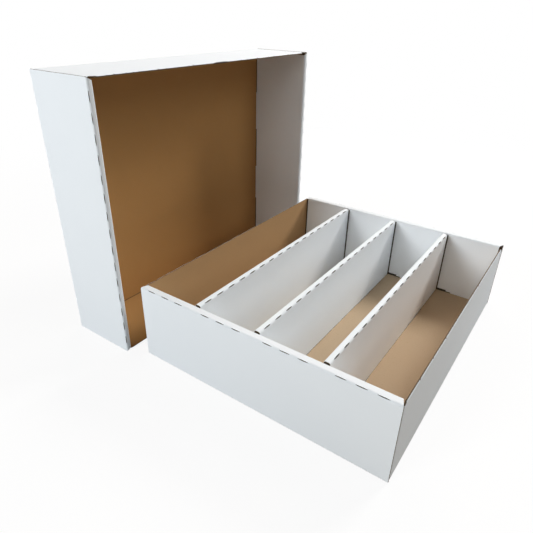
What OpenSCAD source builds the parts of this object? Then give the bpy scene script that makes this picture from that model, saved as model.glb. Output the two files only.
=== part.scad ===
// Card storage box: a tray with four card rows, three folded row dividers and a lid that slips
// over the tray. Each is folded from one sheet of corrugated board, white outside, brown inside.
// The tray and the lid are the same kind of blank in two sizes: the side walls are single board,
// and the end walls roll over two creases, enclose a pair of dust flaps and lock into
// the base with tabs. Every panel is a node, and carries the bend on its own side of the crease.
// Units are millimetres. The tray stands on Z = 0 with the origin at the middle of its base, its
// rows run along Y, and the lid stands on one side wall at its left, open towards the tray.

/* [Board] */
// Thickness of the corrugated board
board_t = 1.8; // [1.2:0.1:2.1]
// Inside radius of a folded crease
crease_r = 0.5; // [0.3:0.1:0.8]

/* [Tray] */
// Outer width of the tray, across the rows
tray_w = 308; // [280:1:360]
// Outer length of the tray, along the rows
tray_l = 371; // [250:1:500]
// Outer height of the tray
tray_h = 94; // [60:1:140]
// Width across the top of the tray's rolled-over end walls
tray_rim_w = 9.5; // [8:0.5:14]
// Length of the tab that locks a tray end wall into the base, one in each row
tray_tab_w = 30; // [15:1:45]

/* [Dividers] */
// Width across the folded top of a divider
divider_w = 7.2; // [5.6:0.1:10]
// Gap between the end of a divider and the tray's end wall
divider_end_gap = 2.2; // [1.5:0.1:5]
// How much shorter a divider's top strip is than its sides, at each end
divider_top_cut = 0.8; // [0:0.1:3]
// Length of a divider's foot tab
divider_tab_l = 40; // [20:1:60]
// Place of the foot tabs as a share of the divider's length from its middle
divider_tab_share = 0.25; // [0.15:0.01:0.35]

/* [Lid] */
// Outer depth of the lid
lid_depth = 92; // [60:1:130]
// Width across the edge of the lid's rolled-over end walls
lid_rim_w = 6.6; // [6.4:0.1:12]
// Play between the tray and each side wall of the lid
lid_side_play = 1.4; // [0.5:0.1:5]
// Play between the tray and each end wall of the lid
lid_end_play = 4; // [1:0.1:8]
// Length of each tab that locks a lid end wall into the lid's panel
lid_tab_w = 60; // [30:1:80]
// Distance from the middle of the lid's end wall to the middle of each tab
lid_tab_offset = 62; // [45:1:80]

/* [Placing] */
// Space on the floor between the tray and the open side of the lid
lid_gap = 23.5; // [5:0.5:60]
// How far the middle of the lid stands in front of the middle of the tray
lid_forward = 2; // [0:0.5:20]

/* [Side walls] */
// How far the free edge of a side wall lies below the rims of the end walls
side_wall_drop = 1; // [0:0.1:2]
// How far the corners of a side wall are cut down, to pass under the ends of the rims
corner_cut_d = 3; // [3:0.1:8]
// Length of the slope from the free edge of a side wall down to its cut corner
corner_cut_l = 4; // [2:1:30]

/* [Perforated creases] */
// Length of one slit
slit_l = 12; // [4:0.5:14]
// Distance from the middle of one slit to the next
slit_pitch = 20; // [16:0.5:30]
// How wide a slit gapes once its crease is folded
slit_w = 0.7; // [0.4:0.1:1.2]
// Least length of crease left whole at the end of a run of slits
slit_margin = 5; // [2:0.5:8]
// How far the cut edges stand out of the rounded crease at a slit
slit_lip = 0.5; // [0.2:0.1:0.8]

/* [Fits] */
// Play between an end wall's inner panel and each side wall
inner_play = 2; // [0.4:0.1:3]
// Gap below an end wall's inner panel, between its tabs
foot_gap = 1.2; // [0.5:0.1:2]
// Play round a tab in its slot
slot_play = 0.3; // [0.2:0.1:1]
// Length that a divider's slot leaves at each end of the tab
slot_end_play = 1.3; // [1:0.1:2]
// How far a tab stops short of the outside of the base
tab_recess = 0.2; // [0.1:0.1:0.6]
// How much narrower a tab is at its tip, on each side
tab_taper = 0.8; // [0:0.1:2]
// Gap between a dust flap and the outer panel that covers it
flap_gap = 0.2; // [0.1:0.1:0.4]
// Gap between a dust flap and the base below it
flap_foot_gap = 1; // [0.4:0.1:3]
// Gap between the two dust flaps where they meet in the middle of an end wall
flap_meet_gap = 3; // [1:0.5:20]
// How far the free corners of a dust flap are cut back
flap_chamfer = 6; // [1:0.5:20]
// Gap between a divider and the tray's floor
seat_gap = 0.3; // [0.2:0.1:0.5]
// Space kept between the rolled-over rim and the cut-down corner of a side wall
relief_gap = 0.3; // [0.2:0.1:1]

/* [Hidden] */
$fn = 96;

// How far every cut runs past the face that it leaves
overrun = 1;
// Outside radius of a folded crease
bend_r = crease_r + board_t;
// How far a lip at a slit lies inside the outer faces of the two boards
lip_inset = 0.1;

// Size of each blank once folded, as width, length and height
tray_size = [tray_w, tray_l, tray_h];
lid_size = [
    tray_w + 2 * (lid_side_play + board_t),
    tray_l + 2 * (lid_end_play + lid_rim_w),
    lid_depth,
];

// Card rows and dividers, from left to right
row_count = 4;
row_w = (tray_w - 2 * board_t - (row_count - 1) * divider_w) / row_count;
row_pitch = row_w + divider_w;
row_middles = [for (i = [0 : row_count - 1]) (i - (row_count - 1) / 2) * row_pitch];
divider_middles = [for (i = [1 : row_count - 1]) (i - row_count / 2) * row_pitch];
divider_l = tray_l - 2 * (tray_rim_w + divider_end_gap);
divider_tab_places = [for (side = [-1, 1]) side * divider_tab_share * divider_l];
// The dividers are pushed forward until their tabs are near the front ends of the slots
divider_set = slot_end_play - slot_play;

// Middles of the locking tabs along an end wall
tray_tabs = row_middles;
lid_tabs = [-lid_tab_offset, lid_tab_offset];

// Middles of the slits that fit into a length of crease, evenly spaced about its middle
function slit_places(span) =
    let (count = floor((span - 2 * slit_margin - slit_l) / slit_pitch) + 1)
    [for (i = [0 : 1 : count - 1]) (i - (count - 1) / 2) * slit_pitch];
tray_slits = [for (row = row_middles, place = slit_places(row_w)) row + place];
lid_slits = slit_places(lid_size[0]);
divider_slits = slit_places(divider_l - 2 * divider_top_cut);

// Board colours: the white liner and the brown liner, as the side that shows
white_liner = [0.87, 0.89, 0.93];
brown_liner = [0.68, 0.55, 0.40];

// A fold seen end on: a quarter ring about the origin, in the quarter where both axes are positive
module fold_profile() {
    intersection() {
        difference() {
            circle(r = bend_r);
            circle(r = crease_r);
        }
        square(bend_r);
    }
}

// Draws its children, a profile in Y and Z, as a bar along X
module along_x(length) {
    rotate([90, 0, 90])
        linear_extrude(length, center = true)
            children();
}

// Draws its children, a profile in X and Z, as a bar along Y
module along_y(length) {
    rotate([90, 0, 0])
        linear_extrude(length, center = true)
            children();
}

// A row of lips along X, one at each slit, where the boards run on towards a square corner and
// slope back into the round fold. The fold opens towards +Y and +Z, its centre on the X axis.
module slit_lips(places) {
    foot = bend_r - lip_inset;
    top = bend_r + slit_lip;
    for (place = places)
        translate([place, 0, 0])
            intersection() {
                along_x(slit_pitch)
                    translate([crease_r, crease_r])
                        square(board_t - lip_inset);
                rotate([-45, 0, 0])
                    along_y(4 * bend_r)
                        polygon([
                            [-slit_l / 2, 0],
                            [-slit_l / 2, foot],
                            [-slit_l / 4, top],
                            [slit_l / 4, top],
                            [slit_l / 2, foot],
                            [slit_l / 2, 0],
                        ]);
            }
}

// The slits themselves, cut straight out through the same fold. Each is a pointed slot that
// gapes most along its middle half.
module slit_cuts(places) {
    for (place = places)
        translate([place, 0, 0])
            rotate([-45, 0, 0])
                translate([0, 0, crease_r / 2])
                    linear_extrude(bend_r + overrun)
                        polygon([
                            [-slit_l / 2, 0],
                            [-slit_l / 4, -slit_w / 2],
                            [slit_l / 4, -slit_w / 2],
                            [slit_l / 2, 0],
                            [slit_l / 4, slit_w / 2],
                            [-slit_l / 4, slit_w / 2],
                        ]);
}

// Slots in a base for tabs of a given length, centred on places along X at a given Y
module tab_slots(places, tab_w, y) {
    for (place = places)
        translate([place - tab_w / 2 - slot_play, y - slot_play, -overrun])
            cube([tab_w + 2 * slot_play, board_t + 2 * slot_play, board_t + 2 * overrun]);
}

// Outline of a tab that hangs from height 0 down to the given depth
module tab_outline(width, depth) {
    polygon([
        [-width / 2, 0],
        [-width / 2 + tab_taper, -depth],
        [width / 2 - tab_taper, -depth],
        [width / 2, 0],
    ]);
}

// Flat base of a blank, between its four creases, slotted for the tabs of both end walls
module base_panel(size, rim_w, tabs, tab_w) {
    inner_y = size[1] / 2 - rim_w;
    difference() {
        translate([bend_r - size[0] / 2, bend_r - size[1] / 2, 0])
            cube([size[0] - 2 * bend_r, size[1] - 2 * bend_r, board_t]);
        tab_slots(tabs, tab_w, inner_y);
        tab_slots(tabs, tab_w, -inner_y - board_t);
    }
}

// Right side wall of a blank with the bend at its foot. Its top corners are cut down under the
// ends of the rims.
module side_wall(size, rim_w) {
    half_l = size[1] / 2 - board_t - flap_gap - bend_r;
    rim_clear = size[1] / 2 - rim_w * board_t / (board_t + inner_play) - relief_gap;
    corner_y = min(rim_clear, half_l - relief_gap);
    corner_z = size[2] - corner_cut_d;
    edge_y = corner_y - corner_cut_l;
    edge_z = size[2] - side_wall_drop;
    translate([size[0] / 2 - board_t, 0, 0])
        rotate([90, 0, 90])
            linear_extrude(board_t)
                polygon([
                    [-half_l, bend_r],
                    [half_l, bend_r],
                    [half_l, corner_z],
                    [corner_y, corner_z],
                    [edge_y, edge_z],
                    [-edge_y, edge_z],
                    [-corner_y, corner_z],
                    [-half_l, corner_z],
                ]);
    translate([size[0] / 2 - bend_r, 0, bend_r])
        along_y(2 * half_l)
            rotate(-90)
                fold_profile();
}

// Outer panel of the back end wall with the bend at its foot
module end_outer_panel(size) {
    along_x(size[0]) {
        translate([size[1] / 2 - board_t, bend_r])
            square([board_t, size[2] - 2 * bend_r]);
        translate([size[1] / 2 - bend_r, bend_r])
            rotate(-90)
                fold_profile();
    }
}

// Strip on top of the back end wall with both of its bends, the outer one perforated. Its ends
// slant in, so that the inner panel clears the side walls.
module end_rim(size, rim_w, slits) {
    outer_bend_y = size[1] / 2 - bend_r;
    inner_bend_y = size[1] / 2 - rim_w + bend_r;
    bend_z = size[2] - bend_r;
    inner_half = size[0] / 2 - board_t - inner_play;
    difference() {
        intersection() {
            union() {
                along_x(size[0]) {
                    translate([outer_bend_y, bend_z])
                        fold_profile();
                    translate([inner_bend_y, size[2] - board_t])
                        square([outer_bend_y - inner_bend_y, board_t]);
                    translate([inner_bend_y, bend_z])
                        rotate(90)
                            fold_profile();
                }
                translate([0, outer_bend_y, bend_z])
                    slit_lips(slits);
            }
            linear_extrude(size[2] + overrun)
                polygon([
                    [-size[0] / 2, size[1] / 2],
                    [size[0] / 2, size[1] / 2],
                    [inner_half, size[1] / 2 - rim_w],
                    [-inner_half, size[1] / 2 - rim_w],
                ]);
        }
        translate([0, outer_bend_y, bend_z])
            slit_cuts(slits);
    }
}

// Inner panel of the back end wall, from the rim down to the base, with its locking tabs
module end_inner_panel(size, rim_w, tabs, tab_w) {
    half_w = size[0] / 2 - board_t - inner_play;
    foot_z = board_t + foot_gap;
    translate([0, size[1] / 2 - rim_w + board_t / 2, 0])
        along_y(board_t) {
            translate([-half_w, foot_z])
                square([2 * half_w, size[2] - bend_r - foot_z]);
            for (place = tabs)
                translate([place, foot_z])
                    tab_outline(tab_w, foot_z - tab_recess);
        }
}

// Dust flap folded in from the right side wall behind the back outer panel, with its bend
module dust_flap(size) {
    face_y = size[1] / 2 - board_t - flap_gap;
    root_x = size[0] / 2 - bend_r;
    tip_x = flap_meet_gap / 2;
    foot_z = board_t + flap_foot_gap;
    top_z = size[2] - corner_cut_d;
    translate([0, face_y - board_t / 2, 0])
        along_y(board_t)
            polygon([
                [root_x, foot_z],
                [root_x, top_z],
                [tip_x + flap_chamfer, top_z],
                [tip_x, top_z - flap_chamfer],
                [tip_x, foot_z + flap_chamfer],
                [tip_x + flap_chamfer, foot_z],
            ]);
    translate([root_x, face_y - bend_r, foot_z])
        linear_extrude(top_z - foot_z)
            fold_profile();
}

// Floor of the tray, with a slot for each foot tab of the dividers as well
module tray_floor() {
    slot_size = [
        divider_w + 2 * slot_play,
        divider_tab_l + 2 * slot_end_play,
        board_t + 2 * overrun,
    ];
    color(brown_liner)
        difference() {
            base_panel(tray_size, tray_rim_w, tray_tabs, tray_tab_w);
            for (x = divider_middles, y = divider_tab_places)
                translate([x - slot_size[0] / 2, y - slot_size[1] / 2, -overrun])
                    cube(slot_size);
        }
}

// Top strip of a divider with both of its bends, the right one perforated
module divider_top() {
    bend_x = divider_w / 2 - bend_r;
    bend_z = tray_h - bend_r;
    difference() {
        union() {
            along_y(divider_l - 2 * divider_top_cut) {
                translate([bend_x, bend_z])
                    fold_profile();
                translate([-bend_x, tray_h - board_t])
                    square([2 * bend_x, board_t]);
                translate([-bend_x, bend_z])
                    rotate(90)
                        fold_profile();
            }
            translate([bend_x, 0, bend_z])
                rotate([0, 0, -90])
                    slit_lips(divider_slits);
        }
        translate([bend_x, 0, bend_z])
            rotate([0, 0, -90])
                slit_cuts(divider_slits);
    }
}

// Right side of a divider, from its top bend to the floor, with its foot tabs
module divider_side() {
    foot_z = board_t + seat_gap;
    translate([divider_w / 2 - board_t, 0, 0])
        rotate([90, 0, 90])
            linear_extrude(board_t) {
                translate([-divider_l / 2, foot_z])
                    square([divider_l, tray_h - bend_r - foot_z]);
                for (place = divider_tab_places)
                    translate([place, foot_z])
                        tab_outline(divider_tab_l, foot_z - tab_recess);
            }
}

// Moves a divider from the middle of the tray to where it stands between two rows
module set_divider(index) {
    translate([divider_middles[index], -divider_set, 0])
        children();
}

// Tray, from the floor up
module tray_right_wall() {
    color(white_liner)
        side_wall(tray_size, tray_rim_w);
}

module tray_left_wall() {
    mirror([1, 0, 0])
        tray_right_wall();
}

module tray_back_outer_panel() {
    color(white_liner)
        end_outer_panel(tray_size);
}

module tray_front_outer_panel() {
    mirror([0, 1, 0])
        tray_back_outer_panel();
}

module tray_back_rim() {
    color(white_liner)
        end_rim(tray_size, tray_rim_w, tray_slits);
}

module tray_front_rim() {
    mirror([0, 1, 0])
        tray_back_rim();
}

module tray_back_inner_panel() {
    color(white_liner)
        end_inner_panel(tray_size, tray_rim_w, tray_tabs, tray_tab_w);
}

module tray_front_inner_panel() {
    mirror([0, 1, 0])
        tray_back_inner_panel();
}

module tray_back_right_dust_flap() {
    color(brown_liner)
        dust_flap(tray_size);
}

module tray_back_left_dust_flap() {
    mirror([1, 0, 0])
        tray_back_right_dust_flap();
}

module tray_front_right_dust_flap() {
    mirror([0, 1, 0])
        tray_back_right_dust_flap();
}

module tray_front_left_dust_flap() {
    mirror([1, 0, 0])
        tray_front_right_dust_flap();
}

// Moves a panel of the lid from its own frame, base down and open upwards, to where it stands
module stand_lid() {
    translate([-tray_w / 2 - lid_gap - lid_depth, -lid_forward, lid_size[0] / 2])
        rotate([0, 90, 0])
            children();
}

// Dividers, from the left
module left_divider_left_side() {
    color(white_liner)
        set_divider(0)
            mirror([1, 0, 0])
                divider_side();
}

module left_divider_top() {
    color(white_liner)
        set_divider(0)
            divider_top();
}

module left_divider_right_side() {
    color(white_liner)
        set_divider(0)
            divider_side();
}

module middle_divider_left_side() {
    color(white_liner)
        set_divider(1)
            mirror([1, 0, 0])
                divider_side();
}

module middle_divider_top() {
    color(white_liner)
        set_divider(1)
            divider_top();
}

module middle_divider_right_side() {
    color(white_liner)
        set_divider(1)
            divider_side();
}

module right_divider_left_side() {
    color(white_liner)
        set_divider(2)
            mirror([1, 0, 0])
                divider_side();
}

module right_divider_top() {
    color(white_liner)
        set_divider(2)
            divider_top();
}

module right_divider_right_side() {
    color(white_liner)
        set_divider(2)
            divider_side();
}

// Lid, each panel in the lid's own frame before it is stood up. Standing it up turns the
// frame's right side down.
module lid_panel() {
    color(brown_liner)
        stand_lid()
            base_panel(lid_size, lid_rim_w, lid_tabs, lid_tab_w);
}

module lid_lower_wall() {
    color(white_liner)
        stand_lid()
            side_wall(lid_size, lid_rim_w);
}

module lid_upper_wall() {
    color(white_liner)
        stand_lid()
            mirror([1, 0, 0])
                side_wall(lid_size, lid_rim_w);
}

module lid_back_outer_panel() {
    color(white_liner)
        stand_lid()
            end_outer_panel(lid_size);
}

module lid_front_outer_panel() {
    color(white_liner)
        stand_lid()
            mirror([0, 1, 0])
                end_outer_panel(lid_size);
}

module lid_back_rim() {
    color(white_liner)
        stand_lid()
            end_rim(lid_size, lid_rim_w, lid_slits);
}

module lid_front_rim() {
    color(white_liner)
        stand_lid()
            mirror([0, 1, 0])
                end_rim(lid_size, lid_rim_w, lid_slits);
}

module lid_back_inner_panel() {
    color(white_liner)
        stand_lid()
            end_inner_panel(lid_size, lid_rim_w, lid_tabs, lid_tab_w);
}

module lid_front_inner_panel() {
    color(white_liner)
        stand_lid()
            mirror([0, 1, 0])
                end_inner_panel(lid_size, lid_rim_w, lid_tabs, lid_tab_w);
}

module lid_back_lower_dust_flap() {
    color(brown_liner)
        stand_lid()
            dust_flap(lid_size);
}

module lid_back_upper_dust_flap() {
    color(brown_liner)
        stand_lid()
            mirror([1, 0, 0])
                dust_flap(lid_size);
}

module lid_front_lower_dust_flap() {
    color(brown_liner)
        stand_lid()
            mirror([0, 1, 0])
                dust_flap(lid_size);
}

module lid_front_upper_dust_flap() {
    color(brown_liner)
        stand_lid()
            mirror([0, 1, 0])
                mirror([1, 0, 0])
                    dust_flap(lid_size);
}

tray_floor();
tray_left_wall();
tray_right_wall();
tray_front_outer_panel();
tray_front_rim();
tray_front_inner_panel();
tray_back_outer_panel();
tray_back_rim();
tray_back_inner_panel();
tray_front_left_dust_flap();
tray_front_right_dust_flap();
tray_back_left_dust_flap();
tray_back_right_dust_flap();
left_divider_left_side();
left_divider_top();
left_divider_right_side();
middle_divider_left_side();
middle_divider_top();
middle_divider_right_side();
right_divider_left_side();
right_divider_top();
right_divider_right_side();
lid_panel();
lid_upper_wall();
lid_lower_wall();
lid_front_outer_panel();
lid_front_rim();
lid_front_inner_panel();
lid_back_outer_panel();
lid_back_rim();
lid_back_inner_panel();
lid_front_upper_dust_flap();
lid_front_lower_dust_flap();
lid_back_upper_dust_flap();
lid_back_lower_dust_flap();
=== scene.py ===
# %% [markdown]
# # A card storage box folded from corrugated board
#
# The real object is three kinds of folded sheet: a tray with a floor, two plain side walls and
# two end walls that roll over on themselves; three hollow dividers that stand in the tray; and
# a lid folded like the tray, which stands on one side wall at its left. The sheets are white on
# the outside and brown on the inside, and wherever one was cut its edge shows what lies between.
#
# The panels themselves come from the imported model, which stays as it is. What is left for this
# script is everything that makes a panel look like corrugated board.

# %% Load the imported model
import math

import bpy
from mathutils import Matrix, Vector


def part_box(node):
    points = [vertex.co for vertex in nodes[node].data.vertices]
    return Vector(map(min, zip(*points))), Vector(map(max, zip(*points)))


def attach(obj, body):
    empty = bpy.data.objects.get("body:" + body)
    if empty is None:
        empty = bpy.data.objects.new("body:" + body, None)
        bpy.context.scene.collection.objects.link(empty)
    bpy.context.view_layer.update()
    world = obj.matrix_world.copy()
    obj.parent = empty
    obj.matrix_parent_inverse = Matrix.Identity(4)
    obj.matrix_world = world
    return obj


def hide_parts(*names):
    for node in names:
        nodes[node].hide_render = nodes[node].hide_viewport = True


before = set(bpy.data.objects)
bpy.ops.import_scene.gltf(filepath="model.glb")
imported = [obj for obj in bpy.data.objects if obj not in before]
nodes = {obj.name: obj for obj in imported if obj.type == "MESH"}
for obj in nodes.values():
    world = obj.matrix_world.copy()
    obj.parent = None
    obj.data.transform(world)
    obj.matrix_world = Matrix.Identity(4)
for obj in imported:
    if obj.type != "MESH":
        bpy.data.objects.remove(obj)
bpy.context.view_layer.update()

# %% [markdown]
# Every pattern below has to know where the faces of each sheet are. They could be typed in, but
# the panels already say it: the ends of their boxes are the outer faces. So the sizes of the
# tray and the dividers are read from the panels, and the board's thickness is the height of the
# tray's floor. An outer panel stops where its bend starts, which gives the bend's radius.

# %% Measure the sheets
MM = 0.001
X, Y, Z = range(3)


def span(axis, *names):
    """Lowest and highest place that these panels reach along an axis, in metres."""
    boxes = [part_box(name) for name in names]
    return min(low[axis] for low, _ in boxes), max(high[axis] for _, high in boxes)


board_t = span(Z, "tray_floor")[1]
tray_half_w = span(X, "tray_left_wall", "tray_right_wall")[1]
tray_half_l = span(Y, "tray_front_rim", "tray_back_rim")[1]
tray_h = span(Z, "tray_back_rim")[1]
bend_r = tray_h - span(Z, "tray_back_outer_panel")[1]
edge_drop = tray_h - span(Z, "tray_right_wall")[1]
divider_w = span(X, "middle_divider_top")[1] - span(X, "middle_divider_top")[0]
divider_pitch = sum(span(X, "right_divider_top")) / 2
divider_middle_y = sum(span(Y, "middle_divider_top")) / 2
print(f"board {board_t / MM:.2f} mm, bend radius {bend_r / MM:.2f} mm")
print(f"tray {2 * tray_half_w / MM:.1f} x {2 * tray_half_l / MM:.1f} x {tray_h / MM:.1f} mm")
print(f"free edges {edge_drop / MM:.1f} mm below the rims, dividers {divider_w / MM:.1f} mm wide")

# %% [markdown]
# A pattern on a surface is arithmetic on its position, and in Blender each sum or product is a
# node. Placing and linking them one by one hides the formula, so one small class wraps a node's
# output and lets Python's own operators add the Math nodes. Anything that isn't arithmetic, such
# as a noise, comes from its one method `make`.

# %% Shader arithmetic
def find(sockets, key):
    """A socket by its number, or by the identifier that tells sockets of one name apart."""
    if isinstance(key, int):
        return sockets[key]
    return next(s for s in sockets if key in (s.identifier, s.name))


class Signal:
    """An output socket in a node tree, on which sums and products add Math nodes."""

    def __init__(self, tree, socket):
        self.tree = tree
        self.socket = socket

    def make(self, kind, sockets, output=0, **settings):
        """A node of that kind, with its settings made first and then its sockets filled."""
        node = self.tree.nodes.new(kind)
        for name, value in settings.items():
            setattr(node, name, value)
        for key, value in sockets.items():
            if isinstance(value, Signal):
                self.tree.links.new(value.socket, find(node.inputs, key))
            else:
                find(node.inputs, key).default_value = value
        if node.outputs:
            return Signal(self.tree, find(node.outputs, output))

    def math(self, operation, *values):
        return self.make("ShaderNodeMath", dict(enumerate(values)), operation=operation)

    def __add__(self, other):
        return self.math("ADD", self, other)

    def __sub__(self, other):
        return self.math("SUBTRACT", self, other)

    def __rsub__(self, other):
        return self.math("SUBTRACT", other, self)

    def __mul__(self, other):
        return self.math("MULTIPLY", self, other)

    def __truediv__(self, other):
        return self.math("DIVIDE", self, other)

    __radd__ = __add__
    __rmul__ = __mul__

    def __abs__(self):
        return self.math("ABSOLUTE", self)

    def lesser(self, other):
        return self.math("MINIMUM", self, other)

    def greater(self, other):
        return self.math("MAXIMUM", self, other)

    def over(self, limit):
        """1 where the signal is over the limit, and 0 elsewhere."""
        return self.math("GREATER_THAN", self, limit)

    def ramp(self, low, high):
        """0 below low, 1 above high and a smooth step between them."""
        return self.make(
            "ShaderNodeMapRange",
            {"Value": self, "From Min": low, "From Max": high},
            interpolation_type="SMOOTHSTEP",
        )

    def blend(self, first, second):
        """The first colour where the signal is 0, and the second where it is 1."""
        return self.make(
            "ShaderNodeMix",
            {"Factor_Float": self, "A_Color": first, "B_Color": second},
            output="Result_Color",
            data_type="RGBA",
        )

    def noise(self, scale, detail, **sockets):
        """A noise from 0 to 1 at the position that the signal holds."""
        values = {"Vector": self, "Scale": scale, "Detail": detail, **sockets}
        return self.make("ShaderNodeTexNoise", values)


print("signals add, subtract, multiply and divide")

# %% [markdown]
# ## The board
#
# Corrugated board is two flat liners with a wavy sheet, the fluting, glued between them. It could
# be painted as three finishes, one for each side and one for the cut edge, but each panel would
# then need its faces sorted. Instead one finish fills the whole thickness: its colour depends on
# how deep a point lies below the outer face. On the outside the depth is nothing, so it is white;
# on the inside it is the full thickness, so it is brown; and a cut edge runs through every depth,
# so it shows both liners with the fluting between them, and the hollows beside the fluting in a
# near black that is painted shade. The brown differs a little between the panels as painted light
# and shade: it is paler on the tray's floor and darker and redder inside the lid. Inside a hollow
# wall and inside the dividers, which light hardly reaches, the brown is painted nearly black, as
# painted shade.

# %% Board sizes and colours
liner_t = 0.22 * MM
fluting_t = 0.2 * MM
flute_pitch = 3.4 * MM
flute_amplitude = (board_t - 2 * liner_t - fluting_t) / 2
WHITE = (0.87, 0.915, 0.95, 1)
WHITE_SHADE = (0.84, 0.888, 0.927, 1)
# Brown sides per panel. The differences between panels are painted light and shade: paler on the tray's
# floor, darker and redder in the lid. The near-black entry is painted shade for brown sides inside hollow
# walls and dividers.
KRAFT_LIT_AND_SHADED = {
    "tray_base": [(0.60, 0.455, 0.305, 1), (0.53, 0.395, 0.26, 1)],
    "tray_wall": [(0.50, 0.315, 0.155, 1), (0.43, 0.262, 0.122, 1)],
    "lid_base": [(0.495, 0.266, 0.094, 1), (0.425, 0.222, 0.075, 1)],
    "lid_wall": [(0.42, 0.235, 0.085, 1), (0.365, 0.195, 0.068, 1)],
    "hollow_painted_shade": [(0.10, 0.066, 0.038, 1), (0.085, 0.054, 0.03, 1)],
}
FLUTING = (0.38, 0.235, 0.115, 1)
# Painted shade: the near black drawn in the flute hollows, towards which folds and hidden brown sides
# darken.
HOLLOW_SHADE_COLOUR = (0.05, 0.032, 0.018, 1)
CUT_EDGE = (0.16, 0.11, 0.07, 1)
# Near black of torn paper and of the worn spot, also used as painted shade at the slits, in the strips
# beside the dividers and along the feet.
TORN_AND_SHADE = (0.07, 0.06, 0.052, 1)
print(f"{board_t / MM:.1f} mm board, a flute every {flute_pitch / MM:.1f} mm, {len(KRAFT_LIT_AND_SHADED)} browns")

# %% [markdown]
# A fold doesn't change what lies at a depth, it only bends it, so the depth has to be measured
# square to the sheet even round a crease. That is the shape of a rounded corner: further than one
# bend radius from the crease it is the plain distance from the outer face, and within it the
# distance from the bend's outer circle.

# %% Depth below the outer liner
def inside(limit, place):
    """How far a place lies inside a pair of faces at plus and minus limit."""
    return limit - abs(place)


def depth_in_sheet(*distances):
    """Depth in a folded sheet, from a point's distances inside its outer faces."""
    shortfalls = [(bend_r - distance).greater(0) for distance in distances]
    squares = sum(short * short for short in shortfalls)
    return bend_r - squares.math("SQRT", squares)


print("depth follows the bend")

# %% [markdown]
# Between the liners the fluting is a sine wave through the thickness. A point is on its paper
# when it is near the wave, measured square to the wave and not straight up, or the slopes would
# come out too thin: that is what the division by the steepness does. A cut through paper is never
# clean, so the depth at which a liner ends is a little ragged.

# %% Layers of the board
FLUTING_EDGE = (0.35 * fluting_t, 0.75 * fluting_t)
RAGGED_SCALE = 900
RAGGED_DEPTH = 0.12 * MM


def board_layers(position, depth, across):
    """The wave from -1 to 1, and 1 in a hollow and in the whole core between the liners."""
    turn = across * (math.tau / flute_pitch)
    wave = turn.math("SINE", turn)
    slope = turn.math("COSINE", turn) * (flute_amplitude * math.tau / flute_pitch)
    steepness = slope.math("SQRT", slope * slope + 1)
    from_fluting = abs(depth - board_t / 2 - wave * flute_amplitude) / steepness
    ragged_depth = depth + (position.noise(RAGGED_SCALE, 2) - 0.5) * RAGGED_DEPTH
    in_core = ragged_depth.over(liner_t) * (board_t - ragged_depth).over(liner_t)
    return wave, from_fluting.ramp(*FLUTING_EDGE), in_core


print(f"flutes {2 * flute_amplitude / MM:.2f} mm high")

# %% [markdown]
# The paper itself is uneven in three ways: long fibres, slow patches where the sheet took up more
# or less of its coating, and a few dark flecks. Each is a noise. The fibres get theirs from a
# place that moves fast with x + y + z and slowly with the rest. That sum stays the same along one
# slant of any panel, whichever way the panel faces, so there the noise's spots are drawn out.

# %% Uneven paper
FIBRE_LENGTH_SCALE = 260
FIBRE_WIDTH_SCALE = 1500
FIBRE_DEPTH_SCALE = 900
PATCH_SCALE = 22
FLECK_SCALE = 620


def paper_noises(position, place, depth, across):
    """Fibres, patches and flecks, each from 0 to 1."""
    x, y, z = place
    sizes = {
        "X": across * FIBRE_LENGTH_SCALE,
        "Y": (x + y + z) * FIBRE_WIDTH_SCALE,
        "Z": depth * FIBRE_DEPTH_SCALE,
    }
    fibres = position.make("ShaderNodeCombineXYZ", sizes).noise(1, 3, Roughness=0.6)
    return fibres, position.noise(PATCH_SCALE, 2), position.noise(FLECK_SCALE, 1)


print("three noises for the paper")

# %% [markdown]
# The finish puts these together. Over the flutes both liners sink in a little, which a low light
# picks out as faint ribs. The white side has a thin matte coating, and the brown side is bare and
# duller. What differs from panel to panel comes in as functions: how deep a point lies, how far
# along the row of flutes it is, where the board is torn or painted with shade, and how much
# painted shade darkens its brown side.

# %% Board finish
WHITE_PATCHES = 0.7
BROWN_FIBRES = 0.6
FLECK_LEVEL = (0.66, 0.74)
FLECK_SHADE = 0.35
RIB_HEIGHT = 0.008 * MM
FIBRE_HEIGHT = 0.012 * MM
HOLLOW_DEPTH = 0.3 * MM
WHITE_ROUGHNESS = 0.62
BROWN_EXTRA = 0.12
FIBRE_EXTRA = 0.1
GLOSS = 0.25


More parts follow.
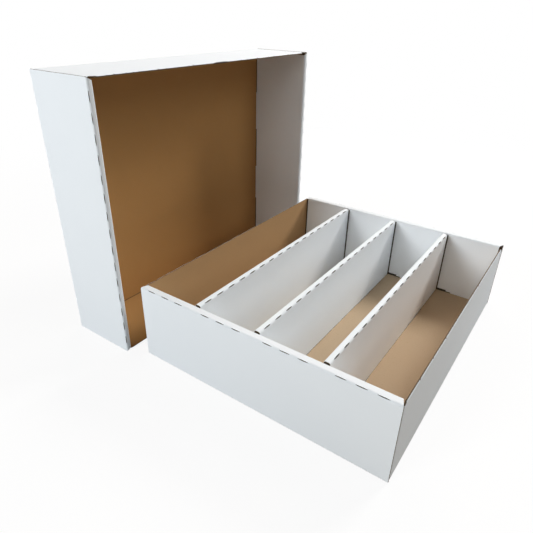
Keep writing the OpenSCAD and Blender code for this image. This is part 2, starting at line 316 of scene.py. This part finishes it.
def board_finish(name, browns, depth_at, across_at, torn_and_shade_at=None, shaded_at=None, open_flutes=False):
    """Corrugated board with a light and a dark brown inside. The functions take the position on
    the piece as three signals. They give the depth below the white face, the distance across the
    flutes, 1 where the paper is torn or painted shade darkens it, and, for the brown side, how
    much painted shade darkens it from 0 to 1. Where the flutes are drawn, their hollows are
    painted dark as painted shade. Where the flutes are modelled, none are drawn, and what lies
    between the liners is dark."""
    brown_light, brown_dark = browns
    material = bpy.data.materials.new(name)
    material.use_nodes = True
    tree = material.node_tree
    position = Signal(tree, tree.nodes.new("ShaderNodeTexCoord").outputs["Object"])
    separate = "ShaderNodeSeparateXYZ"
    place = [position.make(separate, {"Vector": position}, output=axis) for axis in (X, Y, Z)]
    depth = depth_at(*place)
    across = across_at(*place)
    wave, in_hollow, in_core = board_layers(position, depth, across)
    fibres, patches, flecks = paper_noises(position, place, depth, across)
    on_brown = depth.over(board_t / 2)

    white_mix = patches * WHITE_PATCHES + fibres * (1 - WHITE_PATCHES)
    brown_mix = fibres * BROWN_FIBRES + patches * (1 - BROWN_FIBRES)
    white = white_mix.blend(WHITE_SHADE, WHITE)
    brown = brown_mix.blend(brown_dark, brown_light)
    brown = (flecks.ramp(*FLECK_LEVEL) * FLECK_SHADE).blend(brown, FLUTING)
    # painted shade: the brown side darkens towards near black in folds and hidden places
    if shaded_at:
        brown = shaded_at(*place).blend(brown, HOLLOW_SHADE_COLOUR)
    # the flute hollows are painted near black, as painted shade
    core = CUT_EDGE if open_flutes else in_hollow.blend(FLUTING, HOLLOW_SHADE_COLOUR)
    colour = in_core.blend(on_brown.blend(white, brown), core)
    # near black for torn paper and the worn spot, and painted shade at slits, slots and feet
    if torn_and_shade_at:
        colour = torn_and_shade_at(*place).blend(colour, TORN_AND_SHADE)

    height = wave * RIB_HEIGHT + fibres * FIBRE_HEIGHT
    if not open_flutes:
        height = height - in_core * in_hollow * HOLLOW_DEPTH
    bump = position.make("ShaderNodeBump", {"Height": height, "Strength": 1.0, "Distance": 1.0})
    roughness = on_brown * BROWN_EXTRA + fibres * FIBRE_EXTRA + WHITE_ROUGHNESS

    shader = tree.nodes["Principled BSDF"]
    tree.links.new(colour.socket, shader.inputs["Base Color"])
    tree.links.new(roughness.socket, shader.inputs["Roughness"])
    tree.links.new(bump.socket, shader.inputs["Normal"])
    shader.inputs["Specular IOR Level"].default_value = GLOSS
    return material


print("one finish for both sides and the cut edge")

# %% [markdown]
# The outer creases are perforated: slits 12 mm long repeat at 20 mm, so that the board folds in a
# straight line. The model has the slits and their raised lips. On a real fold the paper also tears
# back beside each slit and shows the core, which is too small for the model, so it is drawn: a
# long pointed patch, as far from one outer face as from the other. Its near black is partly the
# torn core and partly painted shade in the slit. The dividers are folded tighter than the rims, so
# their patch is wider.

# %% Torn paper and painted shade at the slits
SLIT_LENGTH = 12 * MM
SLIT_PITCH = 20 * MM
RIM_TEAR_AND_SHADE = 0.42 * MM
DIVIDER_TEAR_AND_SHADE = 0.6 * MM


def to_nearest(place, pitch, first=0.0):
    """Distance from the nearest of a row of marks, with its sign."""
    turns = (place - first) / pitch
    return place - first - turns.math("ROUND", turns) * pitch


def torn_and_shaded_slit(along_crease, depth_a, depth_b, tear_and_shade):
    """1 within the dark patch of a slit, partly torn paper and partly painted shade, whose half
    width in its middle is the last argument. The two depths are from the outer faces that meet."""
    to_tip = abs(to_nearest(along_crease, SLIT_PITCH)) / (SLIT_LENGTH / 2)
    half_width = (1 - to_tip * to_tip * to_tip) * tear_and_shade
    off_middle = abs(depth_a - depth_b) / math.sqrt(2)
    return (half_width - off_middle).over(0)


print(f"slits of {SLIT_LENGTH / MM:.0f} mm every {SLIT_PITCH / MM:.0f} mm")

# %% [markdown]
# The side walls end in a free edge. A die presses the board flat as it cuts, so there the white
# liner leans in over the core, and catches the light as a thin line. The finish has to know how
# far it leans, or the brown core would be drawn on it. In one place the lid's upper wall has lost
# its paper at that edge, and the dark core shows.

# %% Pressed free edges
PRESS_REACH = 1.4 * MM
WHITE_LEAN = 0.5 * MM
BROWN_LEAN = 0.1 * MM
WORN_MIDDLE = -4 * MM
WORN_HALF = 14 * MM
WORN_DEPTH = 1.3 * MM


def pressed(to_edge):
    """1 at the free edge, falling evenly to 0 where the board has its full thickness."""
    return (1 - to_edge / PRESS_REACH).greater(0)


def unpressed(depth, to_edge):
    """The depth that a point in the pressed edge had before."""
    press = pressed(to_edge)
    return (depth - press * WHITE_LEAN) / (1 - press * ((WHITE_LEAN + BROWN_LEAN) / board_t))


def worn_edge(across, along, to_edge):
    """1 where the paper is gone from the free edge of the wall at the blank's right."""
    to_end = abs(along - WORN_MIDDLE) / WORN_HALF
    worn = (1 - to_end * to_end * to_end) * WORN_DEPTH
    return (worn - to_edge).over(0) * across.over(0)


print(f"free edges pressed over {PRESS_REACH / MM:.1f} mm")

# %% [markdown]
# The inner end panels show a dark upright line beside each divider, as a slot would that is a
# little wider than the divider, and a short dark line at their foot there. Both are painted shade,
# drawn on the panels. Light hardly reaches the inside of a fold either, and none reaches the floor
# and the ends of the side walls behind the inner panels, so where a gap shows them they are drawn
# dark, as painted shade.

# %% Painted shade at slots, folds and hidden places
SLOT_REACH = 1.0 * MM
FOOT_REACH = 14 * MM
FOOT_LINE = 3.2 * MM
SLOT_RUN = 1.5 * divider_pitch
CREASE_REACH = 0.9 * MM
CREASE_SHADE = 0.6
HIDDEN_SHADE = 0.85
HIDDEN_EDGE = 0.4 * MM


def divider_slot_shade(across, along, up):
    """1 in the strips of painted shade beside the three dividers and along the foot next to them."""
    from_divider = abs(to_nearest(across, divider_pitch))
    past_inside = from_divider.over(divider_w / 2 - SLOT_REACH)
    beside = past_inside * (divider_w / 2 + SLOT_REACH - from_divider).over(0)
    near_divider = (divider_w / 2 + FOOT_REACH - from_divider).over(0)
    foot = near_divider * (board_t + FOOT_LINE - up).over(0)
    return beside.greater(foot) * (SLOT_RUN - abs(across)).over(0)


def dark_place(from_fold, along, inner_l):
    """How much painted shade darkens the brown side in a fold, and from just in front of the inner
    end panel outwards.
    """
    fold = (1 - from_fold.ramp(bend_r, bend_r + CREASE_REACH)) * CREASE_SHADE
    hidden = abs(along).over(inner_l - HIDDEN_EDGE) * HIDDEN_SHADE
    return fold.greater(hidden)


print(f"slots of {2 * SLOT_REACH / MM:.1f} mm")

# %% [markdown]
# The tray and the lid are one kind of blank, so they can share their finishes, if these are
# written in the blank's own frame: across it, along it and up from its base, with the middle of
# the base as the origin. For the tray that is where it stands. The lid is the same blank stood on
# its side, so what is up for the blank is the tray's right.

# %% Two blanks
class Blank:
    """A folded sheet's sizes in its own frame, and the way there from a place on the box."""

    def __init__(self, name, to_blank, half_w, half_l, height, rim_w, flap_l):
        self.name = name
        self.to_blank = to_blank
        self.half_w = half_w
        self.half_l = half_l
        self.height = height
        self.rim_w = rim_w
        self.inner_l = half_l - rim_w
        self.edge_height = height - edge_drop
        self.flap_l = flap_l
        sizes = (2 * half_w / MM, 2 * half_l / MM, height / MM)
        print(name, "{:.1f} x {:.1f} x {:.1f} mm,".format(*sizes), f"rim {rim_w / MM:.1f} mm")


lid_back_x, lid_open_x = span(X, "lid_panel", "lid_front_rim")
lid_front_y, lid_end_y = span(Y, "lid_front_rim", "lid_back_rim")
lid_foot_z, lid_top_z = span(Z, "lid_lower_wall", "lid_upper_wall")
lid_middle_y = (lid_front_y + lid_end_y) / 2
lid_middle_z = (lid_foot_z + lid_top_z) / 2
tray = Blank(
    "tray",
    to_blank=lambda x, y, z: (x, y, z),
    half_w=tray_half_w,
    half_l=tray_half_l,
    height=tray_h,
    rim_w=tray_half_l - span(Y, "tray_back_rim")[0],
    flap_l=span(Y, "tray_back_left_dust_flap")[1],
)
lid = Blank(
    "lid",
    to_blank=lambda x, y, z: (z - lid_middle_z, y - lid_middle_y, x - lid_back_x),
    half_w=lid_middle_z - lid_foot_z,
    half_l=lid_end_y - lid_middle_y,
    height=lid_open_x - lid_back_x,
    rim_w=lid_end_y - span(Y, "lid_back_rim")[0],
    flap_l=span(Y, "lid_back_upper_dust_flap")[1] - lid_middle_y,
)

# %% [markdown]
# Each kind of panel has a short function that says where its outer faces are. The base has one,
# its underside. A side wall has two, because its bend belongs to it, and its free edge is pressed.
# The flutes run across the blank, so on both kinds the row of flutes goes along it.

# %% Finishes of the base and the side walls
def panel_finish(blank, kind, depth_at, across_at, torn_and_shade_at=None, shaded_at=None, **options):
    """A board finish from functions that take a place in the blank's frame."""

    def on_box(function):
        if function is None:
            return None
        return lambda *place: function(*blank.to_blank(*place))

    return board_finish(
        f"{blank.name}_{kind}_board",
        KRAFT_LIT_AND_SHADED.get(f"{blank.name}_{kind}", KRAFT_LIT_AND_SHADED["hollow_painted_shade"]),
        on_box(depth_at),
        on_box(across_at),
        on_box(torn_and_shade_at),
        on_box(shaded_at),
        **options,
    )


def base_finish(blank):
    return panel_finish(
        blank,
        "base",
        depth_at=lambda across, along, up: depth_in_sheet(up),
        across_at=lambda across, along, up: along,
        shaded_at=lambda across, along, up: dark_place(inside(blank.half_w, across), along, blank.inner_l),
    )


def wall_finish(blank):
    """Only the lid has the worn spot."""

    def depth_at(across, along, up):
        folded = depth_in_sheet(inside(blank.half_w, across), up)
        return unpressed(folded, blank.edge_height - up)

    def worn_at(across, along, up):
        return worn_edge(across, along, blank.edge_height - up)

    return panel_finish(
        blank,
        "wall",
        depth_at,
        across_at=lambda across, along, up: along,
        torn_and_shade_at=worn_at if blank is lid else None,
        shaded_at=lambda across, along, up: dark_place(up, along, blank.inner_l),
        open_flutes=True,
    )


print("functions for 2 kinds of panel")

# %% [markdown]
# An end wall rolls up from the base, over the rim and down again, so its row of flutes goes up
# the outer panel, along over the rim and down the inner panel. The dust flaps are folded in from
# the side walls, inside it. The slits are on the outer crease of the rim: on the tray in one run
# beside each row of cards, on the lid in a single run.

# %% Finishes of the end walls
TRAY_HALF_RUN = 30 * MM
LID_HALF_RUN = 150 * MM


def outer_panel_finish(blank):
    return panel_finish(
        blank,
        "outer_panel",
        depth_at=lambda across, along, up: depth_in_sheet(inside(blank.half_l, along), up),
        across_at=lambda across, along, up: up,
    )


def rim_finish(blank):
    def depth_at(across, along, up):
        nearer_face = inside(blank.half_l, along).lesser(abs(along) - blank.inner_l)
        return depth_in_sheet(nearer_face, blank.height - up)

    def torn_and_shade_at(across, along, up):
        if blank is tray:
            from_middle = to_nearest(across, divider_pitch, divider_pitch / 2)
            half_run = TRAY_HALF_RUN
        else:
            from_middle = across
            half_run = LID_HALF_RUN
        torn_and_shade = torn_and_shaded_slit(from_middle, inside(blank.half_l, along), blank.height - up, RIM_TEAR_AND_SHADE)
        return torn_and_shade * (half_run - abs(from_middle)).over(0)

    return panel_finish(blank, "rim", depth_at, lambda across, along, up: along + up, torn_and_shade_at)


def inner_panel_finish(blank):
    return panel_finish(
        blank,
        "inner_panel",
        depth_at=lambda across, along, up: depth_in_sheet(abs(along) - blank.inner_l),
        across_at=lambda across, along, up: up,
        torn_and_shade_at=divider_slot_shade if blank is tray else None,
    )


def dust_flap_finish(blank):
    def depth_at(across, along, up):
        return depth_in_sheet(inside(blank.flap_l, along), inside(blank.half_w, across))

    return panel_finish(blank, "dust_flap", depth_at, lambda across, along, up: across)


print("functions for 4 more kinds of panel")

# %% [markdown]
# The dividers stand one pitch apart, so one finish serves all three, with each point measured
# from the nearest of their middles. Only the right crease of a divider is slit. Its foot is a cut
# edge, and a thin dark line is painted along the foot of its sides where it stands on the floor,
# partly for the cut edge and partly as painted contact shadow.

# %% Finish of the dividers
DIVIDER_FOOT_LINE = 0.8 * MM
TAB_TOP = -0.05 * MM


def divider_depth(x, y, z):
    from_middle = to_nearest(x, divider_pitch)
    return depth_in_sheet(inside(divider_w / 2, from_middle), tray_h - z)


def divider_torn_and_shade(x, y, z):
    """1 at the slits' patches of torn paper and painted shade, and along the foot down to the tabs,
    where the dark line is partly cut edge and partly painted contact shadow.
    """
    from_right = divider_w / 2 - to_nearest(x, divider_pitch)
    slit = torn_and_shaded_slit(y - divider_middle_y, from_right, tray_h - z, DIVIDER_TEAR_AND_SHADE)
    above_floor = z - board_t
    foot = (DIVIDER_FOOT_LINE - above_floor).over(0) * above_floor.over(TAB_TOP)
    return slit.greater(foot)


divider_finish = board_finish(
    "divider_board", KRAFT_LIT_AND_SHADED["hollow_painted_shade"], divider_depth, lambda x, y, z: y, divider_torn_and_shade
)
print(f"finish {divider_finish.name}")

# %% [markdown]
# A panel's name ends with its kind, so the names say which finish each one gets. The two bases
# are called a floor and a panel.

# %% Dress the panels
BASES = ("tray_floor", "lid_panel")
FINISH_OF_KIND = {
    "base": base_finish,
    "wall": wall_finish,
    "outer_panel": outer_panel_finish,
    "rim": rim_finish,
    "inner_panel": inner_panel_finish,
    "dust_flap": dust_flap_finish,
}
finishes = {
    blank.name: {kind: make(blank) for kind, make in FINISH_OF_KIND.items()} for blank in (tray, lid)
}


def finish_of(name):
    if "divider" in name:
        return divider_finish
    of_blank = finishes["lid" if name.startswith("lid") else "tray"]
    if name in BASES:
        return of_blank["base"]
    return next(finish for kind, finish in of_blank.items() if name.endswith(kind))


for name, panel in nodes.items():
    panel.material_slots[0].material = finish_of(name)
print(f"{len(nodes)} panels dressed")

# %% [markdown]
# ## Side walls with real flutes
#
# The side walls are the only panels whose long cut edge shows, and it is the most telling detail
# of corrugated board: two thin liners with a wave between them and dark hollows along it. A drawn
# wave stays flat when the light changes, so these four walls are built as the board is built, and
# stand for the solid ones. A wave repeats by a rule, which makes it work for Geometry Nodes: one
# tree makes three sheets on a grid, bends each to its place with arithmetic on the position, and
# gives it thickness. The same tree serves the tray and the lid, because their sizes are inputs.

# %% Inputs of the wall tree
WALL_INPUTS = {
    "Length": "length of the wall",
    "Outer Face": "distance of the outer face from the middle of the blank",
    "Edge Height": "height of the free edge",
    "Edge End": "where the free edge starts to slope down, from the middle",
    "Corner Start": "where the slope ends",
    "Corner Height": "height of the cut corner",
    "First Dip": "how far the corner at the low end is pushed down",
    "Last Dip": "how far the corner at the high end is pushed down",
}
print(f"{len(WALL_INPUTS)} inputs")

# %% [markdown]
# The free edge's height is one field that all three sheets share: level, then down a slope at each
# corner, less a few small nicks where the paper is ragged, and lower still at a corner that was
# pushed down in use. The nicks come from a noise along the wall, so they are the same on each run.

# %% Height of the free edge
NICK_SCALE = 260.0
NICK_LEVEL = (0.6, 0.75)
NICK_DEPTH = 0.7 * MM
DIP_REACH = 11 * MM


def edge_height(sizes, along):
    """Height of the free edge at a distance along the wall, for the tree's own inputs."""
    slope = (abs(along) - sizes["Edge End"]) / (sizes["Corner Start"] - sizes["Edge End"])
    down = slope.greater(0).lesser(1)
    noise = along.make(
        "ShaderNodeTexNoise", {"W": along, "Scale": NICK_SCALE, "Detail": 1.0}, noise_dimensions="1D"
    )
    nicks = noise.ramp(*NICK_LEVEL) * NICK_DEPTH
    ends = {"First Dip": along * -1, "Last Dip": along}
    dips = sum(
        place.ramp(sizes["Corner Start"] - DIP_REACH, sizes["Corner Start"]) * sizes[name]
        for name, place in ends.items()
    )
    return sizes["Edge Height"] - down * (sizes["Edge Height"] - sizes["Corner Height"]) - nicks - dips


print(f"nicks up to {NICK_DEPTH / MM:.1f} mm")

# %% [markdown]
# Each sheet is a grid whose rows go up the wall and whose columns go along it, and a shape is the
# formula that takes a row and a distance along to a place. A liner goes round the bend in a few
# rows, then straight up in rows that crowd towards the edge, where it leans in. The fluting
# starts above the bend and stops short of the edge, and its wave is flattened by the press.

# %% Shapes of the three sheets
BEND_ROWS = 6
UPRIGHT_ROWS = 9
FLUTING_ROWS = 4
FLUTING_RECESS = 0.9 * MM


def liner_shape(sizes, depth, lean):
    """Round the fold and up to the free edge, that deep below the outer face."""
    radius = bend_r - depth

    def shape(row, along):
        angle = (row / BEND_ROWS).lesser(1) * (math.pi / 2)
        left = (1 - (row - BEND_ROWS) / (UPRIGHT_ROWS - 1)).lesser(1)
        edge = edge_height(sizes, along)
        to_edge = left * left * left * (edge - bend_r)
        up = edge - to_edge - angle.math("COSINE", angle) * radius
        bend = angle.math("SINE", angle) * radius
        out = sizes["Outer Face"] - bend_r + bend - pressed(to_edge) * lean
        return out, up

    return shape


def fluting_shape(sizes):
    """One long step from the fold to the pressed edge and short ones from there, waving along
    the wall."""
    step = (PRESS_REACH - FLUTING_RECESS) / (FLUTING_ROWS - 2)

    def shape(row, along):
        edge = edge_height(sizes, along)
        below_edge = (FLUTING_ROWS - 1 - row) * step + FLUTING_RECESS
        at_foot = 1 - row.over(0.5)
        to_edge = below_edge + at_foot * (edge - bend_r - below_edge)
        press = pressed(to_edge)
        middle = (board_t - fluting_t) / 2 + press * ((WHITE_LEAN - BROWN_LEAN) / 2)
        amplitude = flute_amplitude - press * ((WHITE_LEAN + BROWN_LEAN) / 2)
        turn = along * (math.tau / flute_pitch)
        out = sizes["Outer Face"] - middle + turn.math("SINE", turn) * amplitude
        return out, edge - to_edge

    return shape


print("sheets follow the fold and the free edge")

# %% [markdown]
# A grid has no thickness. Extruding its faces all together gives it one, and leaves the grid
# itself as the open side, so a flipped copy of the grid closes it and the doubled edge points are
# merged. A sheet made this way is a closed shell whose faces point outwards.

# %% Thick sheets
WELD = 1e-6


def grid_place(start, rows):
    """The row and the distance along the wall of each point of a grid."""
    position = start.make("GeometryNodeInputPosition", {})
    row = position.make("ShaderNodeSeparateXYZ", {"Vector": position}, output=X) + (rows - 1) / 2
    return row, position.make("ShaderNodeSeparateXYZ", {"Vector": position}, output=Y)


def joined(parts):
    """All parts as one geometry. The node takes them all in one socket, which make can't fill."""
    tree = parts[0].tree
    join = tree.nodes.new("GeometryNodeJoinGeometry")
    for part in parts:
        tree.links.new(part.socket, join.inputs[0])
    return Signal(tree, join.outputs[0])


def thick_sheet(length, rows, columns, shape, thickness):
    """A grid moved to a shape, whose faces look inwards, and thickened to that side."""
    grid = length.make(
        "GeometryNodeMeshGrid",
        {"Size X": rows - 1.0, "Size Y": length, "Vertices X": rows, "Vertices Y": columns},
        output="Mesh",
    )
    row, along = grid_place(length, rows)
    out, up = shape(row, along)
    place = length.make("ShaderNodeCombineXYZ", {"X": out, "Y": along, "Z": up})
    sheet = length.make("GeometryNodeSetPosition", {"Geometry": grid, "Position": place})
    back = length.make(
        "GeometryNodeExtrudeMesh",
        {"Mesh": sheet, "Offset Scale": thickness, "Individual": False},
        mode="FACES",
    )
    front = length.make("GeometryNodeFlipFaces", {"Mesh": sheet})
    both = joined([front, back])
    return length.make("GeometryNodeMergeByDistance", {"Geometry": both, "Distance": WELD})


print("sheets are closed shells")

# %% [markdown]
# The tree has one named input for each size and one for the finish. It makes the white liner, the
# fluting and the brown liner, joins them, and ends by making the result real and giving it its
# finish. The liners need a column every millimetre or so for the nicks, and the wave needs a dozen
# to each flute to look round.

# %% Tree of the fluted wall
COLUMN_STEP = 0.9 * MM
POINTS_PER_FLUTE = 12


def wall_tree():
    tree = bpy.data.node_groups.new("fluted_wall", "GeometryNodeTree")
    add_socket = tree.interface.new_socket
    add_socket(name="Geometry", in_out="INPUT", socket_type="NodeSocketGeometry")
    for name, meaning in WALL_INPUTS.items():
        add_socket(name=name, description=meaning, in_out="INPUT", socket_type="NodeSocketFloat")
    add_socket(name="Material", in_out="INPUT", socket_type="NodeSocketMaterial")
    add_socket(name="Geometry", in_out="OUTPUT", socket_type="NodeSocketGeometry")
    entry = tree.nodes.new("NodeGroupInput")
    sizes = {name: Signal(tree, entry.outputs[name]) for name in WALL_INPUTS}
    length = sizes["Length"]
    columns = length.math("ROUND", length / COLUMN_STEP)
    wave_columns = length.math("ROUND", length / (flute_pitch / POINTS_PER_FLUTE))
    liner_rows = BEND_ROWS + UPRIGHT_ROWS
    white_liner = liner_shape(sizes, 0.0, WHITE_LEAN)
    brown_liner = liner_shape(sizes, board_t - liner_t, -BROWN_LEAN)
    board = joined([
        thick_sheet(length, liner_rows, columns, white_liner, liner_t),
        thick_sheet(length, FLUTING_ROWS, wave_columns, fluting_shape(sizes), fluting_t),
        thick_sheet(length, liner_rows, columns, brown_liner, liner_t),
    ])
    real = length.make("GeometryNodeRealizeInstances", {"Geometry": board})
    finish = Signal(tree, entry.outputs["Material"])
    finished = length.make("GeometryNodeSetMaterial", {"Geometry": real, "Material": finish})
    tree.links.new(finished.socket, tree.nodes.new("NodeGroupOutput").inputs["Geometry"])
    return tree


fluted_wall = wall_tree()
print(f"{len(fluted_wall.nodes)} nodes in the wall tree")

# %% [markdown]
# The tree works in the blank's own frame, with the wall on the right. A wall on the left is the
# same wall turned half round, and the lid's blank lies on its side. All of these are turns and not
# mirror images, so the faces keep pointing outwards. The corners are cut as on the solid walls:
# down to the height of the dust flaps, and clear of the rims' slanted ends. Where the photograph
# shows a dark hole at a corner, the corner is pushed down.

# %% Four fluted walls
CORNER_SLOPE = 4 * MM
RIM_RELIEF = 0.3 * MM
corner_cut = tray_h - span(Z, "tray_back_right_dust_flap")[1]
inner_play = tray_half_w - board_t - span(X, "tray_back_inner_panel")[1]
half_turn = Matrix.Rotation(math.pi, 4, "Z")
lay_lid = Matrix(
    ((0, 0, 1, lid_back_x), (0, -1, 0, lid_middle_y), (1, 0, 0, lid_middle_z), (0, 0, 0, 1))
)


def wall_mesh(values):
    """The tree's result for these inputs, as a plain mesh."""
    carrier = bpy.data.objects.new("wall_carrier", bpy.data.meshes.new("wall_carrier"))
    bpy.context.scene.collection.objects.link(carrier)
    modifier = carrier.modifiers.new("board", "NODES")
    modifier.node_group = fluted_wall
    for item in fluted_wall.interface.items_tree:
        if item.in_out == "INPUT" and item.name in values:
            modifier[item.identifier] = values[item.name]
    evaluated = carrier.evaluated_get(bpy.context.evaluated_depsgraph_get())
    mesh = bpy.data.meshes.new_from_object(evaluated)
    bpy.data.objects.remove(carrier)
    return mesh


def build_wall(name, node, blank, to_world, first_dip=0.0, last_dip=0.0):
    low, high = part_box(node)
    length = high[Y] - low[Y]
    slanted_end = blank.half_l - blank.rim_w * board_t / (board_t + inner_play)
    corner_start = min(slanted_end, length / 2) - RIM_RELIEF
    mesh = wall_mesh(
        {
            "Length": length,
            "Outer Face": blank.half_w,
            "Edge Height": blank.edge_height,
            "Edge End": corner_start - CORNER_SLOPE,
            "Corner Start": corner_start,
            "Corner Height": blank.height - corner_cut,
            "First Dip": first_dip,
            "Last Dip": last_dip,
            "Material": finishes[blank.name]["wall"],
        }
    )
    mesh.name = name
    mesh.transform(to_world)
    wall = bpy.data.objects.new(name, mesh)
    bpy.context.scene.collection.objects.link(wall)
    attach(wall, blank.name)
    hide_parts(node)
    print(f"{name}: {len(mesh.polygons)} faces")


build_wall("tray_right_fluted_wall", "tray_right_wall", tray, Matrix.Identity(4), last_dip=6 * MM)
build_wall("tray_left_fluted_wall", "tray_left_wall", tray, half_turn)
build_wall(
    "lid_upper_fluted_wall", "lid_upper_wall", lid, lay_lid, first_dip=5 * MM, last_dip=2.5 * MM
)
build_wall("lid_lower_fluted_wall", "lid_lower_wall", lid, lay_lid @ half_turn)

# %% [markdown]
# ## The studio
#
# The photograph shows the box on plain white, with hardly a shadow. A floor that is only white
# would need so much light to reach white in the picture that the box would burn out. So the floor
# glows where the camera sees it, a little less near the box, where it still takes its shadow. To
# the light itself the floor is a pale grey, so the undersides don't get as much light as the tops.
# At the front right it is darker and warmer to the light, because the right wall in the
# photograph gets little and warm light from below.

# %% Floor and backdrop
FLOOR_DROP = 0.3 * MM
FLOOR_SIZE = 12
SHADOW_SHARE = 0.1
SHADOW_REACH = (0.6, 1.2)
SEEN_FLOOR = (0.95, 0.95, 0.95, 1)
LIT_FLOOR = (0.45, 0.45, 0.45, 1)
SHADED_FLOOR = (0.27, 0.23, 0.18, 1)
SHADED_MIDDLE = (0.5, -0.35, 0)
SHADED_REACH = (0.3, 0.7)
FULL_WHITE = (1, 1, 1, 1)
NO_LIGHT = (0, 0, 0, 1)


def seen_directly(tree):
    """1 for a ray from the camera, a reflection or a transparent piece, and 0 for light."""
    path = tree.nodes.new("ShaderNodeLightPath")
    rays = ("Is Camera Ray", "Is Glossy Ray", "Is Transmission Ray")
    camera, glossy, transmission = (Signal(tree, path.outputs[ray]) for ray in rays)
    return (camera + glossy + transmission).lesser(1)


def floor_finish():
    material = bpy.data.materials.new("studio_floor")
    material.use_nodes = True
    tree = material.node_tree
    tree.nodes.clear()
    seen = seen_directly(tree)
    position = Signal(tree, tree.nodes.new("ShaderNodeTexCoord").outputs["Object"])
    measure = "ShaderNodeVectorMath"
    away = position.make(measure, {0: position}, output="Value", operation="LENGTH")
    from_shaded = position.make(
        measure, {0: position, 1: SHADED_MIDDLE}, output="Value", operation="DISTANCE"
    )
    glowing = away.ramp(*SHADOW_REACH) * SHADOW_SHARE + (1 - SHADOW_SHARE)
    lit = from_shaded.ramp(*SHADED_REACH).blend(SHADED_FLOOR, LIT_FLOOR)
    matte = seen.make("ShaderNodeBsdfDiffuse", {"Color": seen.blend(lit, SEEN_FLOOR)}, output="BSDF")
    glow = seen.make("ShaderNodeEmission", {"Color": FULL_WHITE, "Strength": 1}, output="Emission")
    mixed = seen.make("ShaderNodeMixShader", {0: seen * glowing, 1: matte, 2: glow}, output="Shader")
    seen.make("ShaderNodeOutputMaterial", {"Surface": mixed})
    return material


half_floor = FLOOR_SIZE / 2
corners = [(x * half_floor, y * half_floor, -FLOOR_DROP) for x, y in ((-1, -1), (1, -1), (1, 1), (-1, 1))]
floor_mesh = bpy.data.meshes.new("studio_floor")
floor_mesh.from_pydata(corners, [], [(0, 1, 2, 3)])
floor_mesh.materials.append(floor_finish())
floor = bpy.data.objects.new("studio_floor", floor_mesh)
bpy.context.scene.collection.objects.link(floor)

world = bpy.data.worlds.new("studio")
bpy.context.scene.world = world
world.use_nodes = True
world.node_tree.nodes.clear()
seen = seen_directly(world.node_tree)
sky = seen.make(
    "ShaderNodeBackground",
    {"Color": seen.blend(NO_LIGHT, FULL_WHITE), "Strength": 1},
    output="Background",
)
seen.make("ShaderNodeOutputWorld", {"Surface": sky})
bpy.context.scene.view_settings.view_transform = "Standard"
print(f"white backdrop and a floor of {FLOOR_SIZE} m")

# %% [markdown]
# Shadows tell where the light stood. On the left wall and on the dividers a wedge of shadow starts
# at the back corner, and on the back panels another starts at the left. Their slopes give the
# two lamps that matter most, one behind the box at the right and one low in front of it, at the
# left, and how sharp the wedges are gives their size. Three wider lamps fill in. Each is placed
# by its compass angle, from +X towards +Y, and its height above the floor, both in degrees.

# %% Lamps
AIM = Vector((-0.05, 0, 0.08))
NEUTRAL = (1, 1, 1)
WARM = (1, 0.97, 0.93)
WARMER = (1, 0.9, 0.84)
COOL = (0.96, 0.985, 1)
LAMPS = {
    # compass, height, distance, size, strength, colour
    "back_right_lamp": (71, 37, 3.0, 0.8, 0.80, WARM),
    "low_front_lamp": (253, 19.5, 2.6, 0.8, 0.55, COOL),
    "high_back_lamp": (120, 50, 3.0, 1.6, 0.34, WARMER),
    "right_lamp": (20, 38, 3.0, 1.4, 0.18, NEUTRAL),
    "front_lamp": (278, 25, 3.0, 1.4, 0.15, WARM),
}


def lamp(name, compass, height, distance, size, strength, colour):
    """A square lamp, aimed at the box. strength is how bright it makes a white surface that
    faces it, where 1 is white in the picture."""
    data = bpy.data.lights.new(name, "AREA")
    data.size = size
    data.color = colour
    data.energy = strength * math.pi**2 * distance**2
    made = bpy.data.objects.new(name, data)
    bpy.context.scene.collection.objects.link(made)
    compass, height = math.radians(compass), math.radians(height)
    level = math.cos(height)
    towards = Vector((level * math.cos(compass), level * math.sin(compass), math.sin(height)))
    made.location = AIM + towards * distance
    made.rotation_euler = towards.to_track_quat("Z", "Y").to_euler()
    made.visible_camera = False


for name, settings in LAMPS.items():
    lamp(name, *settings)
print(f"{len(LAMPS)} lamps")

# %% [markdown]
# The camera's place was worked out from the corners of the tray and the lid in the photograph,
# taken together, so that both line up with it at once.

# %% Camera
camera_data = bpy.data.cameras.new("camera")
camera_data.sensor_width = 36
camera_data.lens = 32.2
camera = bpy.data.objects.new("camera", camera_data)
camera.location = (0.2224, -0.4823, 0.3734)
camera.rotation_euler = [math.radians(angle) for angle in (61.416, -1.021, 35.186)]
bpy.context.scene.collection.objects.link(camera)
bpy.context.scene.camera = camera
print(f"camera at {tuple(round(c, 3) for c in camera.location)}")
